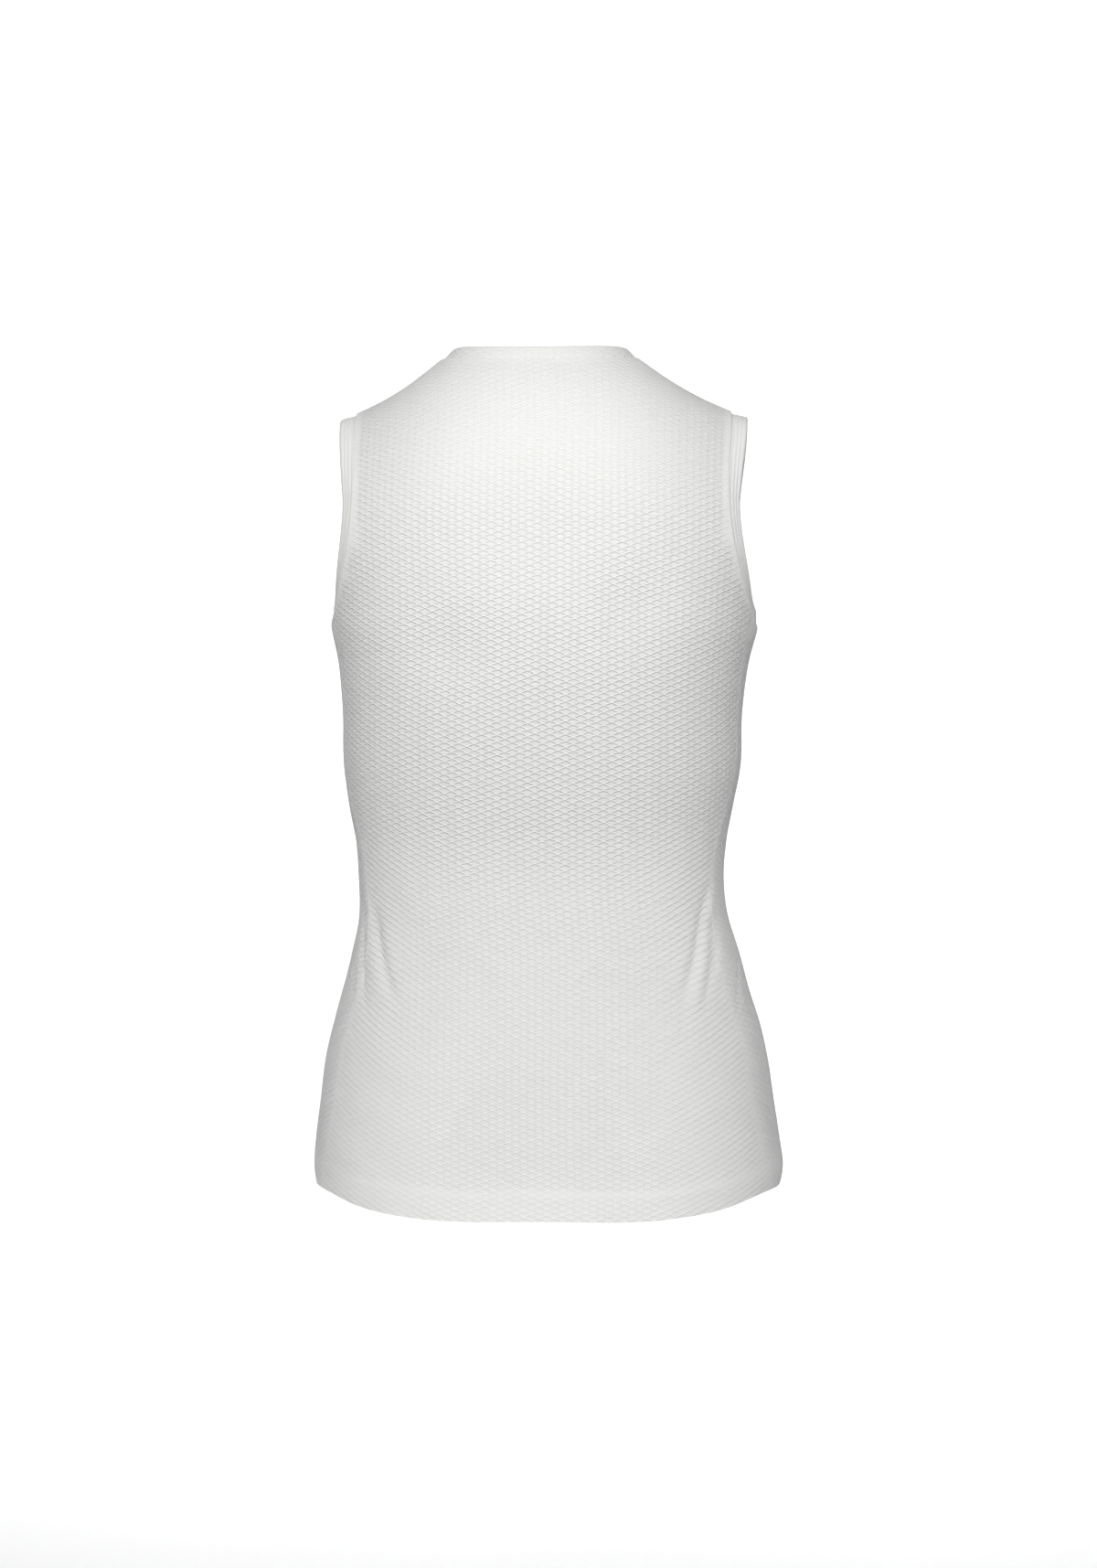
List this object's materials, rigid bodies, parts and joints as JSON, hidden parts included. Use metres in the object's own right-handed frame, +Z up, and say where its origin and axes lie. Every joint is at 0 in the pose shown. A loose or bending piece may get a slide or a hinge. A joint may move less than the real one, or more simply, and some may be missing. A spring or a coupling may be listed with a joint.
{
  "type": "cycling base layer vest",
  "caption": "Women's sleeveless cycling base layer vest in worn form, hollow, with bound neck and armholes, side seams behind the sides and a dropped, stitched hem at the back.",
  "frame": {"origin": "midway between the two high points of the shoulders, where the wearer's shoulders hold the vest up", "axes": "+Z up, -Y the front of the vest, +Y its back, +X the wearer's left"},
  "size_m": [0.3308, 0.2371, 0.607],
  "materials": {
    "raised_knit": "matte raised knit, off-white",
    "rib_knit": "matte narrow rib, off-white"
  },
  "bodies": {
    "root": {"back_panel": "raised_knit", "front_panel": "raised_knit", "neck_binding": "raised_knit", "armhole_binding_left": "rib_knit", "armhole_binding_right": "rib_knit"}
  },
  "joints": []
}
